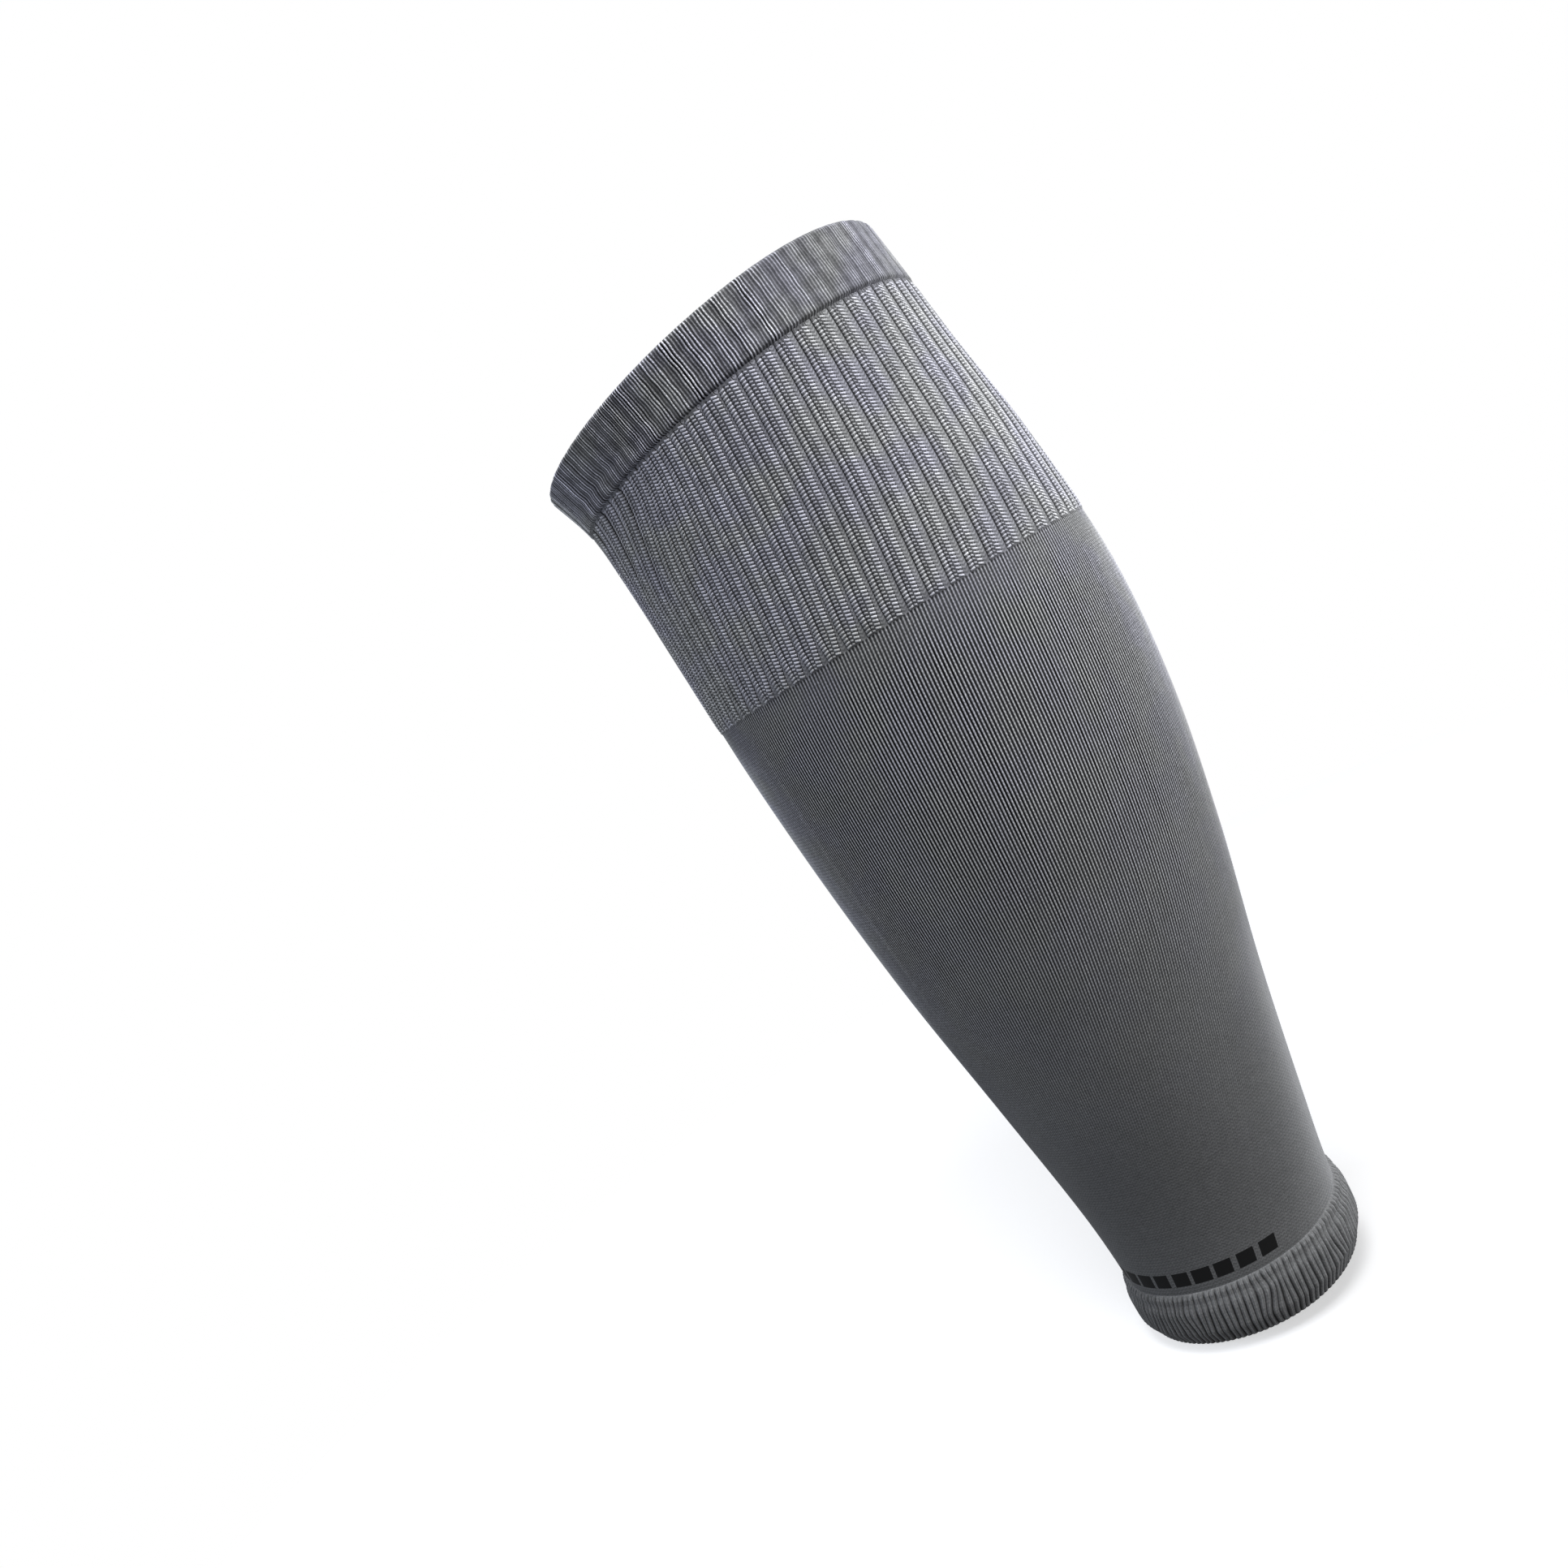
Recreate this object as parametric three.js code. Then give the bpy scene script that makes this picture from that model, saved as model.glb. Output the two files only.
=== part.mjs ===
// A knitted calf compression sleeve in the form it has on a leg. Millimetres, +Z runs up the leg
// towards the knee, -X is the shin, +X the calf, and the origin is on the leg's axis at the level
// of the fullest part of the calf, where the sleeve grips.
// The tube is knitted in four zones. Each is a ring of cloth, open at both ends.

import * as THREE from 'three';

// Heights of the four zones, from the ankle up
const ankleCuffHeight = 15.5;
const calfPanelHeight = 193.5;
const ribPanelHeight = 69.5;
const topCuffHeight = 17.5;
const zoneGap = 0.3;

// The leg that fills the sleeve, measured over the plain knit
const calfDepth = 116; // shin to calf, at the fullest place
const calfWidth = 110; // side to side, at the fullest place
const calfSwell = 0.1; // how much wider a section is towards the calf than at its middle
const seatAt = 0.65; // the fullest place, as a share of the sleeve's length from the ankle hem

// Cloth thickness of each zone
const ankleCuffWall = 2.4;
const calfPanelWall = 1.2;
const ribPanelWall = 1.6; // over the crown of a rib
const topCuffWall = 2.2; // two layers, folded over at the top edge

// Relief of the cloth over the leg
const ankleCuffBulge = 2.4; // how far the gathered cuff stands proud
const hemRise = 0.3; // how far its rolled hem stands proud
const ankleRibDepth = 0.6; // of the gathers round the ankle cuff
const ribRise = 0.4; // how far a rib's crown stands proud of the plain knit
const ribDepth = 0.7; // from a rib's crown down to the groove beside it
const ribCount = 64; // ribs round the rib panel, and round the ankle cuff
const topCuffRise = 0.6; // how far the folded cuff stands proud
const seamDip = 0.5; // how deep the seam under the top cuff sinks in

// Faces along the rings: columns go round the leg, rows go up it
const calfPanelColumns = 60;
const topCuffColumns = 90;
const columnsPerRib = 3;
const columnsPerAnkleRib = 2;
const calfPanelRows = 11;
const ribPanelRows = 5;
const innerRows = 2; // up the inner face of the rib panel
const foldRows = 4;

// Yarn colours
const plainKnitColour = 0x4a4c50;
const ribKnitColour = 0x66686d;
const cuffKnitColour = 0x55565b;

// Sections of the leg from the ankle hem up. "at" is a share of the sleeve's length, "shin" and
// "calf" are the leg's reach from its axis as shares of calfDepth, "side" is half its width as a
// share of calfWidth, "tilt" is how steeply a knitted row climbs from the shin to the calf, and
// "turn" is how many degrees the ribs have wound round the leg since the hem.
const legSections = [
  { at: 0.0, shin: 0.305, calf: 0.252, side: 0.28, tilt: 0.09, turn: 0 },
  { at: 0.06, shin: 0.307, calf: 0.262, side: 0.275, tilt: 0.08, turn: 3.5 },
  { at: 0.13, shin: 0.322, calf: 0.292, side: 0.295, tilt: 0.075, turn: 8 },
  { at: 0.26, shin: 0.372, calf: 0.354, side: 0.355, tilt: 0.075, turn: 17 },
  { at: 0.4, shin: 0.428, calf: 0.432, side: 0.43, tilt: 0.07, turn: 23.5 },
  { at: 0.53, shin: 0.467, calf: 0.487, side: 0.48, tilt: 0.055, turn: 26 },
  { at: 0.66, shin: 0.494, calf: 0.506, side: 0.5, tilt: 0.035, turn: 29 },
  { at: 0.79, shin: 0.508, calf: 0.475, side: 0.495, tilt: 0.05, turn: 35 },
  { at: 0.89, shin: 0.519, calf: 0.432, side: 0.48, tilt: 0.085, turn: 39.5 },
  { at: 0.945, shin: 0.532, calf: 0.411, side: 0.478, tilt: 0.115, turn: 41.5 },
  { at: 1.0, shin: 0.572, calf: 0.388, side: 0.485, tilt: 0.145, turn: 43 },
];

// The ankle cuff's outer face, from its rolled hem up to the crease under the calf panel. "at" is
// a share of the cuff's height, "out" of its bulge, and "ribbed" of its ribs' depth.
const ankleCuffFace = [
  { at: 0.32, out: 0.95, ribbed: 1.0 },
  { at: 0.58, out: 1.0, ribbed: 1.0 },
  { at: 0.84, out: 0.7, ribbed: 0.8 },
  { at: 1.0, out: 0.05, ribbed: 0.0 },
];

// The top cuff's outer face, from the seam up to the fold. "at" is a share of the cuff's height,
// "out" of its rise, and "sunk" of the seam's dip.
const topCuffFace = [
  { at: 0.0, out: 0.0, sunk: 1.0 },
  { at: 0.12, out: 0.8, sunk: 0.0 },
  { at: 0.5, out: 1.0, sunk: 0.0 },
];

// Levels above the ankle hem
const calfPanelBase = ankleCuffHeight + zoneGap;
const ribPanelBase = calfPanelBase + calfPanelHeight + zoneGap;
const topCuffBase = ribPanelBase + ribPanelHeight + zoneGap;
const sleeveLength = topCuffBase + topCuffHeight;
const seatHeight = seatAt * sleeveLength;

// A column of the section table as a smooth curve through its rows
function sectionCurve(column) {
  const last = legSections.length - 1;
  const slopes = legSections.map((row, i) => {
    const below = legSections[Math.max(i - 1, 0)];
    const above = legSections[Math.min(i + 1, last)];
    return (above[column] - below[column]) / (above.at - below.at);
  });
  return (share) => {
    const place = THREE.MathUtils.clamp(share, 0, 1);
    const i = Math.min(legSections.findLastIndex((row) => row.at <= place), last - 1);
    const [low, high] = [legSections[i], legSections[i + 1]];
    const span = high.at - low.at;
    const t = (place - low.at) / span;
    const rise = high[column] - low[column];
    const bend = (1 - t) * (slopes[i] * span - rise) - t * (slopes[i + 1] * span - rise);
    return low[column] + t * rise + t * (1 - t) * bend;
  };
}

const shinAt = sectionCurve('shin');
const calfAt = sectionCurve('calf');
const sideAt = sectionCurve('side');
const tiltAt = sectionCurve('tilt');
const turnAt = sectionCurve('turn');

// The point over the leg at a height above the hem, on the rib that starts at an angle from the
// calf at the hem, that lies "outwards" of the plain knit's outer face
function legPoint(height, ribAngle, outwards) {
  const share = height / sleeveLength;
  const angle = ribAngle + THREE.MathUtils.degToRad(turnAt(share));
  const shin = shinAt(share) * calfDepth;
  const calf = calfAt(share) * calfDepth;
  const side = sideAt(share) * calfWidth;
  const halfDepth = (calf + shin) / 2;
  const centre = (calf - shin) / 2;
  const [c, s] = [Math.cos(angle), Math.sin(angle)];
  const outline = new THREE.Vector2(centre + halfDepth * c, side * s * (1 + calfSwell * c));
  const normal = new THREE.Vector2(side * (c + calfSwell * Math.cos(2 * angle)), halfDepth * s);
  outline.addScaledVector(normal.normalize(), outwards);
  return new THREE.Vector3(outline.x, outline.y, height + tiltAt(share) * outline.x - seatHeight);
}

// A closed ring of cloth. Its rows go once round the cut edge of the wall: up the outer face and
// down the inner one. A row has its height above the hem, its place outwards of the plain knit,
// and how deep the grooves cut it. A groove lies on the last column of every rib.
function clothRing(name, colour, columns, columnsInRib, rows) {
  const points = [];
  const faces = [];
  rows.forEach(({ height, outwards, groove = 0 }, i) => {
    const next = (i + 1) % rows.length;
    for (let j = 0; j < columns; j += 1) {
      const inGroove = j % columnsInRib === columnsInRib - 1;
      const angle = (j / columns) * 2 * Math.PI;
      const k = (j + 1) % columns;
      points.push(legPoint(height, angle, outwards - (inGroove ? groove : 0)));
      faces.push(i * columns + j, i * columns + k, next * columns + k);
      faces.push(i * columns + j, next * columns + k, next * columns + j);
    }
  });
  const shape = new THREE.BufferGeometry().setFromPoints(points);
  shape.setIndex(faces);
  shape.computeVertexNormals();
  const cloth = new THREE.MeshStandardMaterial({ color: colour, roughness: 0.9, metalness: 0 });
  const mesh = new THREE.Mesh(shape, cloth);
  mesh.name = name;
  return mesh;
}

// Rows at even steps between two heights
function evenRows(count, from, to, outwards, groove) {
  return Array.from({ length: count + 1 }, (_, i) => (
    { height: from + ((to - from) * i) / count, outwards, groove }
  ));
}

// Rows that carry a double layer round a fold, from its outer face to its inner face. The fold
// reaches up to or down to "edge", and the outer face lies at "outwards".
function foldedEdge(edge, upwards, outwards, wall) {
  const radius = wall / 2;
  return Array.from({ length: foldRows + 1 }, (_, i) => {
    const turn = (i / foldRows) * Math.PI;
    return {
      height: edge - upwards * radius * (1 - Math.sin(turn)),
      outwards: outwards - radius * (1 - Math.cos(turn)),
    };
  });
}

// The plain knit over the calf, one layer
function calfPanel() {
  const top = calfPanelBase + calfPanelHeight;
  return clothRing('calf_panel', plainKnitColour, calfPanelColumns, 1, [
    ...evenRows(calfPanelRows, calfPanelBase, top, 0, 0),
    ...evenRows(calfPanelRows, top, calfPanelBase, -calfPanelWall, 0),
  ]);
}

// The broad rib under the top cuff, one layer with grooves in its outer face
function ribPanel() {
  const top = ribPanelBase + ribPanelHeight;
  const inner = ribRise - ribPanelWall;
  return clothRing('rib_panel', ribKnitColour, ribCount * columnsPerRib, columnsPerRib, [
    ...evenRows(ribPanelRows, ribPanelBase, top, ribRise, ribDepth),
    ...evenRows(innerRows, top, ribPanelBase, inner, 0),
  ]);
}

// The double welt that holds the sleeve up under the knee
function topCuff() {
  const outer = topCuffFace.map(({ at, out, sunk }) => (
    { height: topCuffBase + at * topCuffHeight, outwards: out * topCuffRise - sunk * seamDip }
  ));
  const inner = topCuffRise - topCuffWall;
  return clothRing('top_cuff', cuffKnitColour, topCuffColumns, 1, [
    ...outer,
    ...foldedEdge(sleeveLength, 1, topCuffRise, topCuffWall),
    ...evenRows(1, topCuffBase + topCuffHeight / 2, topCuffBase, inner, 0),
  ]);
}

// The short gathered cuff that grips the ankle
function ankleCuff() {
  const outer = ankleCuffFace.map(({ at, out, ribbed }) => ({
    height: at * ankleCuffHeight,
    outwards: out * ankleCuffBulge,
    groove: ribbed * ankleRibDepth,
  }));
  const inner = outer.map(({ height, outwards }) => (
    { height, outwards: outwards - ankleCuffWall }
  ));
  const hem = foldedEdge(0, -1, hemRise, ankleCuffWall);
  const columns = ribCount * columnsPerAnkleRib;
  return clothRing('ankle_cuff', cuffKnitColour, columns, columnsPerAnkleRib, [
    ...hem.reverse(),
    ...outer,
    ...inner.reverse(),
  ]);
}

const sleeve = new THREE.Group();
sleeve.add(ankleCuff(), calfPanel(), ribPanel(), topCuff());

export default sleeve;
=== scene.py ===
# %% [markdown]
# # A knitted calf compression sleeve
# The sleeve is one tube that a circular knitting machine makes in four zones: an ankle cuff, a
# plain calf panel, a panel of broad ribs and a folded double cuff. This lesson dresses the packed
# model of it: the solids give the place and size of each zone, and every zone gets a finer mesh
# with its own ribs, stitches and yarn. Everything is in metres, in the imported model's frame.

import math

import bpy
import numpy as np
from mathutils import Matrix, Vector


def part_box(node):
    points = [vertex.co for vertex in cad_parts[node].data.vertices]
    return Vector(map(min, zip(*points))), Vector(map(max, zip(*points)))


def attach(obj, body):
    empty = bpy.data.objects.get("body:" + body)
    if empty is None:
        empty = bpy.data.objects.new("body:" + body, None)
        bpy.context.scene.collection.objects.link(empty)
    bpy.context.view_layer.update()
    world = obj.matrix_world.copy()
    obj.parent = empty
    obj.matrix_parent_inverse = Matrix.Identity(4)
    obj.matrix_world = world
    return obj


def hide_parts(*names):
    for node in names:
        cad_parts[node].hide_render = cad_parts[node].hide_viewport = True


MM = 0.001
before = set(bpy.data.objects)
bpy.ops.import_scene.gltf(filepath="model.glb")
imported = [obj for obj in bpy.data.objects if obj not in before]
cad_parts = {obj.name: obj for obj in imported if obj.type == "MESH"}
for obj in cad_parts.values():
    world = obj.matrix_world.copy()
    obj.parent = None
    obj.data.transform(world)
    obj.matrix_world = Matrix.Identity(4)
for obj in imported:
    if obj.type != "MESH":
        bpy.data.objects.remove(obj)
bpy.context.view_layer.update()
print("zones in the frame:", sorted(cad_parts))

# %% [markdown]
# ## The leg that fills the sleeve
# A worn sleeve has the form of the leg inside it. It could be sculpted by eye, but a short table
# of sections keeps the real sizes in view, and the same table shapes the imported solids: the reach
# to the shin and to the calf, half the width, how steeply a knitted row climbs towards the calf,
# and how far the wales have wound round the leg. A smooth curve through each column gives the
# form at any height, so the fine meshes lie on the solids.

# %% Sizes of the zones
ankle_cuff_height = 15.5 * MM
calf_panel_height = 193.5 * MM
rib_panel_height = 69.5 * MM
top_cuff_height = 17.5 * MM
zone_gap = 0.3 * MM
calf_depth = 116 * MM
calf_width = 110 * MM
calf_swell = 0.1
seat_at = 0.65

calf_panel_base = ankle_cuff_height + zone_gap
calf_panel_top = calf_panel_base + calf_panel_height
rib_panel_base = calf_panel_top + zone_gap
rib_panel_top = rib_panel_base + rib_panel_height
top_cuff_base = rib_panel_top + zone_gap
sleeve_length = top_cuff_base + top_cuff_height
seat_height = seat_at * sleeve_length
print(f"sleeve length {sleeve_length / MM:.1f} mm, its grip {seat_height / MM:.1f} mm above the hem")

# %% Sections of the leg
leg = {
    "at": (0.0, 0.06, 0.13, 0.26, 0.4, 0.53, 0.66, 0.79, 0.89, 0.945, 1.0),
    "shin": (0.305, 0.307, 0.322, 0.372, 0.428, 0.467, 0.494, 0.508, 0.519, 0.532, 0.572),
    "calf": (0.252, 0.262, 0.292, 0.354, 0.432, 0.487, 0.506, 0.475, 0.432, 0.411, 0.388),
    "side": (0.28, 0.275, 0.295, 0.355, 0.43, 0.48, 0.5, 0.495, 0.48, 0.478, 0.485),
    "tilt": (0.09, 0.08, 0.075, 0.075, 0.07, 0.055, 0.035, 0.05, 0.085, 0.115, 0.145),
    "turn": (0, 3.5, 8, 17, 23.5, 26, 29, 35, 39.5, 41.5, 43),
}
leg = {column: np.array(values, float) for column, values in leg.items()}


def leg_curve(column, height):
    """A column of the table as a smooth curve, at heights above the ankle hem."""
    at, value = leg["at"], leg[column]
    share = np.clip(height / sleeve_length, 0, 1)
    below = np.maximum(np.arange(len(at)) - 1, 0)
    above = np.minimum(np.arange(len(at)) + 1, len(at) - 1)
    slope = (value[above] - value[below]) / (at[above] - at[below])
    i = np.clip(np.searchsorted(at, share, side="right") - 1, 0, len(at) - 2)
    span = at[i + 1] - at[i]
    t = (share - at[i]) / span
    rise = value[i + 1] - value[i]
    bend = (1 - t) * (slope[i] * span - rise) - t * (slope[i + 1] * span - rise)
    return value[i] + t * rise + t * (1 - t) * bend


# %% [markdown]
# ## Folds and strays of the knit
# A sleeve on a leg isn't an even tube. Under the cuff its shin side is gathered in a few soft
# folds, and the grooves between the ribs close up there. The lines of the cuff wander a little,
# and the ribs of the ankle cuff wave. A sculpted mesh could hold all this, but bells and smooth
# steps on the leg's own curves are easier to move, and every ring follows the same ones.

# %% Folds and strays
# Heights and depths here are in millimetres, heights from the hem, and wales are in degrees
ribs = 64
recess_at = 0.625
folds = {
    "wale": (172.3, 161.0, 183.5, 150.0),
    "low": (244, 250, 266, 262),
    "depth": (0.8, 0.7, 0.5, 0.5),
    "width": (1.5, 1.5, 1.3, 1.6),
}
folds = {column: np.array(values, float) for column, values in folds.items()}
fold_top, fold_start, fold_end = 281, 12, 3
crease_level, crease_depth, crease_height = 285, 0.6, 1.6
crease_wale, crease_width = 170, 14
shin_gather, gather_wale, gather_width, gather_low = 6.5, 172, 19, 246
ankle_wave, ankle_wave_height, ankle_wave_end = 0.7, 15, (11, 16)
cuff_wobble, cuff_wobble_start = 0.06, (281, 284)
rib_pinch, pinch_start, pinch_end = 0.12, (210, 216), (277, 281)
pinched_after, pinched_before = (140, 170), (208, 250)
print(f"{len(folds['wale'])} folds at the shin, {ribs} ribs round the leg")


def bell(distance, width):
    """1 in the middle, falling off smoothly to both sides."""
    return np.exp(-((distance / width) ** 2))


def rising(value, low, high):
    """0 below low, 1 above high, and smooth between."""
    t = np.clip((value - low) / (high - low), 0, 1)
    return t * t * (3 - 2 * t)


def stray(h, wale):
    """How many degrees a wale strays round the leg, at a height in millimetres."""
    gathered = shin_gather * bell(wale - gather_wale, gather_width) * rising(h, gather_low, fold_top)
    turn = np.radians(wale)
    uneven = np.sin(5 * turn + 1) + 0.7 * np.sin(13 * turn + 2) + 0.5 * np.sin(23 * turn)
    waved = ankle_wave * uneven * np.sin(h * 2 * np.pi / ankle_wave_height)
    waved = waved * (1 - rising(h, *ankle_wave_end))
    turn_in_rib = 2 * np.pi * (wale * ribs / 360 - recess_at)
    closed = rising(wale, *pinched_after) * (1 - rising(wale, *pinched_before))
    pinched = -rib_pinch * closed * np.sin(turn_in_rib) * 360 / ribs * rising(h, *pinch_start)
    pinched = pinched * (1 - rising(h, *pinch_end))
    bends = np.sin(0.7 * h + 9 * np.sin(7 * turn)) + 0.7 * np.sin(1.3 * h + 11 * np.sin(11 * turn + 1))
    return gathered + waved + pinched + cuff_wobble * bends * rising(h, *cuff_wobble_start)


def sunk(h, wale):
    """How far the folds near the shin sink the cloth, in millimetres."""
    depth = crease_depth * bell(h - crease_level, crease_height) * bell(wale - crease_wale, crease_width)
    for place, low, deep, width in zip(*folds.values()):
        along = rising(h, low, low + fold_start) * (1 - rising(h, fold_top - fold_end, fold_top))
        depth = depth + deep * along * bell(wale - place, width)
    return depth


# %% Points on the leg
girth_steps = 360


def leg_point(height, angle, outwards):
    """Points over the leg, and which way is outwards there. The angle is a wale's, at the hem."""
    h, wale = height / MM, np.degrees(angle) % 360
    a = angle + np.radians(leg_curve("turn", height) + stray(h, wale))
    outwards = outwards - sunk(h, wale) * MM
    shin, calf = leg_curve("shin", height) * calf_depth, leg_curve("calf", height) * calf_depth
    side, half_depth = leg_curve("side", height) * calf_width, (shin + calf) / 2
    x = (calf - shin) / 2 + half_depth * np.cos(a)
    y = side * np.sin(a) * (1 + calf_swell * np.cos(a))
    away_x = side * (np.cos(a) + calf_swell * np.cos(2 * a))
    away_y = half_depth * np.sin(a)
    size = np.hypot(away_x, away_y)
    away_x, away_y = away_x / size, away_y / size
    x, y = x + away_x * outwards, y + away_y * outwards
    z = height + leg_curve("tilt", height) * x - seat_height
    return np.stack([x, y, z], -1), np.stack([away_x, away_y, np.zeros_like(x)], -1)


def girth(height):
    """The way round the leg at a height."""
    turns = np.linspace(0, 2 * np.pi, girth_steps + 1)
    ring, _ = leg_point(np.full(girth_steps + 1, height), turns, 0)
    return np.linalg.norm(np.diff(ring, axis=0), axis=1).sum()


ankle_level = 20 * MM
print(f"the calf is {girth(seat_height) / MM:.0f} mm round, the ankle {girth(ankle_level) / MM:.0f} mm")

# %% [markdown]
# ## A helper for node trees
# The materials and the knit are node trees, built in the script so that each size stays a named
# value. Written out, every node takes a line for each input and link. This helper places a node,
# sets its inputs and wires it in one line, so that a tree reads like a formula.

# %% Nodes helper
class Wiring:
    """Places nodes in a tree and wires them. A value that isn't a socket is set on the input."""

    def __init__(self, tree):
        self.tree = tree

    def feed(self, socket, value):
        if isinstance(value, bpy.types.NodeSocket):
            self.tree.links.new(value, socket)
        else:
            socket.default_value = value

    def add(self, kind, inputs=None, **settings):
        node = self.tree.nodes.new(kind)
        for name, value in settings.items():
            setattr(node, name, value)
        for socket, value in (inputs or {}).items():
            self.feed(node.inputs[socket], value)
        return node

    def carried(self, label, kind="FLOAT"):
        """A named attribute of the mesh that a geometry tree works on."""
        inputs = {"Name": label}
        node = self.add("GeometryNodeInputNamedAttribute", inputs, data_type=kind)
        return node.outputs["Attribute"]

    def by_chance(self, number):
        """A number from 0 to 1 that differs from one whole number to the next."""
        node = self.add("ShaderNodeTexWhiteNoise", {"W": number}, noise_dimensions="1D")
        return node.outputs["Value"]

    def math(self, operation, *values):
        return self.add("ShaderNodeMath", dict(enumerate(values)), operation=operation).outputs[0]

    def mix(self, share, low, high):
        """A number between two others."""
        inputs = {"Factor": share, "A": low, "B": high}
        return self.add("ShaderNodeMix", inputs, data_type="FLOAT").outputs[0]

    def colours(self, share, low, high, blend="MIX"):
        """A colour between two others."""
        node = self.add("ShaderNodeMix", data_type="RGBA", blend_type=blend)
        for socket, value in zip((node.inputs[0], node.inputs[6], node.inputs[7]), (share, low, high)):
            self.feed(socket, value)
        return node.outputs[2]

    def step(self, value, low, high):
        """0 below low, 1 above high, and smooth between."""
        inputs = {"Value": value, "From Min": low, "From Max": high}
        return self.add("ShaderNodeMapRange", inputs, interpolation_type="SMOOTHSTEP").outputs[0]

    def curve(self, value, points):
        """A smooth curve drawn through a few points, from 0 to 1."""
        node = self.add("ShaderNodeFloatCurve", {"Value": value})
        drawn = node.mapping.curves[0].points
        for place, (x, y) in enumerate(points):
            point = drawn[0] if place == 0 else drawn[1] if place == 1 else drawn.new(x, y)
            point.location = (x, y)
        node.mapping.update()
        return node.outputs[0]


def new_tree(kind, name, inputs, outputs):
    """A node group with named sockets, its wiring, and its input and output nodes."""
    tree = bpy.data.node_groups.new(name, kind)
    for direction, sockets in (("INPUT", inputs), ("OUTPUT", outputs)):
        for label, socket in sockets.items():
            tree.interface.new_socket(label, in_out=direction, socket_type="NodeSocket" + socket)
    wiring = Wiring(tree)
    return tree, wiring, wiring.add("NodeGroupInput").outputs, wiring.add("NodeGroupOutput").inputs


# %% [markdown]
# ## Camera and studio
# The photograph looks at the sleeve from its side, a little from the front, with the camera rolled
# so that the leg leans. The camera stands on the level of the calf, close enough that the cuffs
# fall away in perspective. The studio is white all round. An image of a studio could light it all
# at once, but softboxes can be set one by one: a key and two others from above model the knit,
# fills lift the calf, the shin and the far side, and a rim draws the back of the calf. The pale
# floor glows a little. Only two softboxes reach it, as with black card in front of the others, so
# that no more than a soft shadow lies under the ankle.

# %% Camera
camera_distance = 330 * MM
camera_side = -50 * MM
camera_level = 7 * MM
camera_dip = math.radians(2.3)
camera_roll = math.radians(30)
sensor_width = 36
frame_pixels = 1932
focal_pixels = 1442
nearest = 10 * MM

lens = bpy.data.cameras.new("camera")
lens.sensor_width = sensor_width
lens.lens = focal_pixels / frame_pixels * sensor_width
lens.clip_start = nearest
camera = bpy.data.objects.new("camera", lens)
bpy.context.scene.collection.objects.link(camera)
ahead = Vector((0, math.cos(camera_dip), -math.sin(camera_dip)))
level = Vector((1, 0, 0))
upright = level.cross(ahead)
right = math.cos(camera_roll) * level - math.sin(camera_roll) * upright
up = math.sin(camera_roll) * level + math.cos(camera_roll) * upright
turned = Matrix((right, up, -ahead)).transposed().to_4x4()
camera.matrix_world = Matrix.Translation((camera_side, -camera_distance, camera_level)) @ turned
bpy.context.scene.camera = camera
print(f"camera {lens.lens:.1f} mm, rolled {math.degrees(camera_roll):.0f} degrees")

# %% Studio
floor_gap = 1.5 * MM
floor_radius = 0.5
floor_colour = (0.9, 0.91, 0.93)
floor_roughness = 0.9
floor_glow = 0.55
white = (1, 1, 1)
skylight = (0.87, 0.95, 1.09)
ambient = 0.3
hem_level = min(corner.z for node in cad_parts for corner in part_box(node))


def soft_light(name, place, size, power, colour):
    """A square softbox that faces the sleeve."""
    light = bpy.data.lights.new(name, "AREA")
    light.size, light.energy, light.color = size, power, colour
    lamp = bpy.data.objects.new(name, light)
    lamp.location = place
    lamp.rotation_euler = (-Vector(place)).to_track_quat("-Z", "Y").to_euler()
    bpy.context.scene.collection.objects.link(lamp)
    return lamp


studio_white = bpy.data.materials.new("studio_white")
studio_white.use_nodes = True
surface = studio_white.node_tree.nodes["Principled BSDF"].inputs
surface["Base Color"].default_value = (*floor_colour, 1)
surface["Roughness"].default_value = floor_roughness
surface["Specular IOR Level"].default_value = 0.0
surface["Emission Color"].default_value = (*white, 1)
surface["Emission Strength"].default_value = floor_glow
bpy.ops.mesh.primitive_circle_add(
    vertices=128, radius=floor_radius, fill_type="NGON", location=(0, 0, hem_level - floor_gap)
)
floor = bpy.context.active_object
floor.name = "studio_floor"
floor.data.materials.append(studio_white)
floor.visible_diffuse = False
floor.visible_glossy = False
# Where each softbox stands, how wide it is and its power in watts
softboxes = {
    "top_softbox": ((0.1, -0.05, 0.8), 0.45, 6.5),
    "front_top_softbox": ((0.05, -0.45, 0.8), 0.4, 4),
    "key_from_upper_right": ((0.42, -0.5, 0.75), 0.35, 11),
    "fill_from_the_right": ((0.75, -0.4, 0.2), 0.4, 4.7),
    "rim_behind_the_calf": ((0.72, 0.5, -0.05), 0.4, 9),
    "fill_from_the_shin": ((-0.75, 0.0, 0.1), 0.4, 2.3),
    "fill_for_the_far_side": ((-0.1, 0.85, 0.3), 0.5, 5),
}
sky_softbox = "fill_from_the_shin"
light_the_floor = ("front_top_softbox", "fill_from_the_shin")
off_the_floor = bpy.data.collections.new("off_the_floor")
off_the_floor.objects.link(floor)
off_the_floor.collection_objects[0].light_linking.link_state = "EXCLUDE"
for lamp_name, (place, size, power) in softboxes.items():
    lamp = soft_light(lamp_name, place, size, power, skylight if lamp_name == sky_softbox else white)
    if lamp_name not in light_the_floor:
        lamp.light_linking.receiver_collection = off_the_floor

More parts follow.
